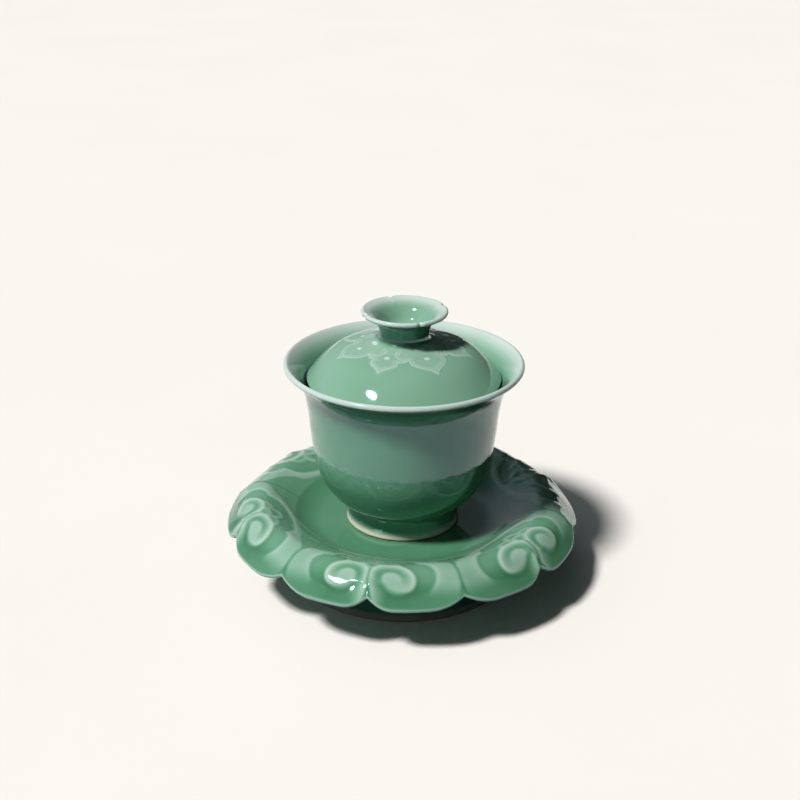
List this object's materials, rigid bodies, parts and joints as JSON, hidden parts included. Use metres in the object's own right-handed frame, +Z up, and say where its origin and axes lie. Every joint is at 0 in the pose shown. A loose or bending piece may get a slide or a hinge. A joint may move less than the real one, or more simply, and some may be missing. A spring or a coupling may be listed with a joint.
{
  "type": "gaiwan",
  "caption": "Lidded tea bowl with a flared lip and a domed, cup-knobbed lid, standing on a footed saucer with a carved cloud-lobed brim; bowl and lid lift off.",
  "frame": {"origin": "centre of the saucer's foot ring, on the surface that it stands on", "axes": "+Z up along the axis that saucer, bowl and lid share; the notch that parts the pair of lobes nearest to -Y lies 10.6 degrees from -Y towards -X"},
  "size_m": [0.1394, 0.1394, 0.1092],
  "materials": {
    "saucer_glaze": "gloss",
    "bowl_glaze": "gloss",
    "lid_glaze": "gloss"
  },
  "bodies": {
    "saucer": {"saucer": "saucer_glaze"},
    "bowl": {"bowl": "bowl_glaze"},
    "lid": {"lid": "lid_glaze"}
  },
  "joints": [
    {"name": "bowl_lift", "type": "slide", "parent": "saucer", "child": "bowl", "axis": [0, 0, 1], "range_m": [0, 0.05]},
    {"name": "lid_lift", "type": "slide", "parent": "bowl", "child": "lid", "axis": [0, 0, 1], "range_m": [0, 0.05]}
  ]
}
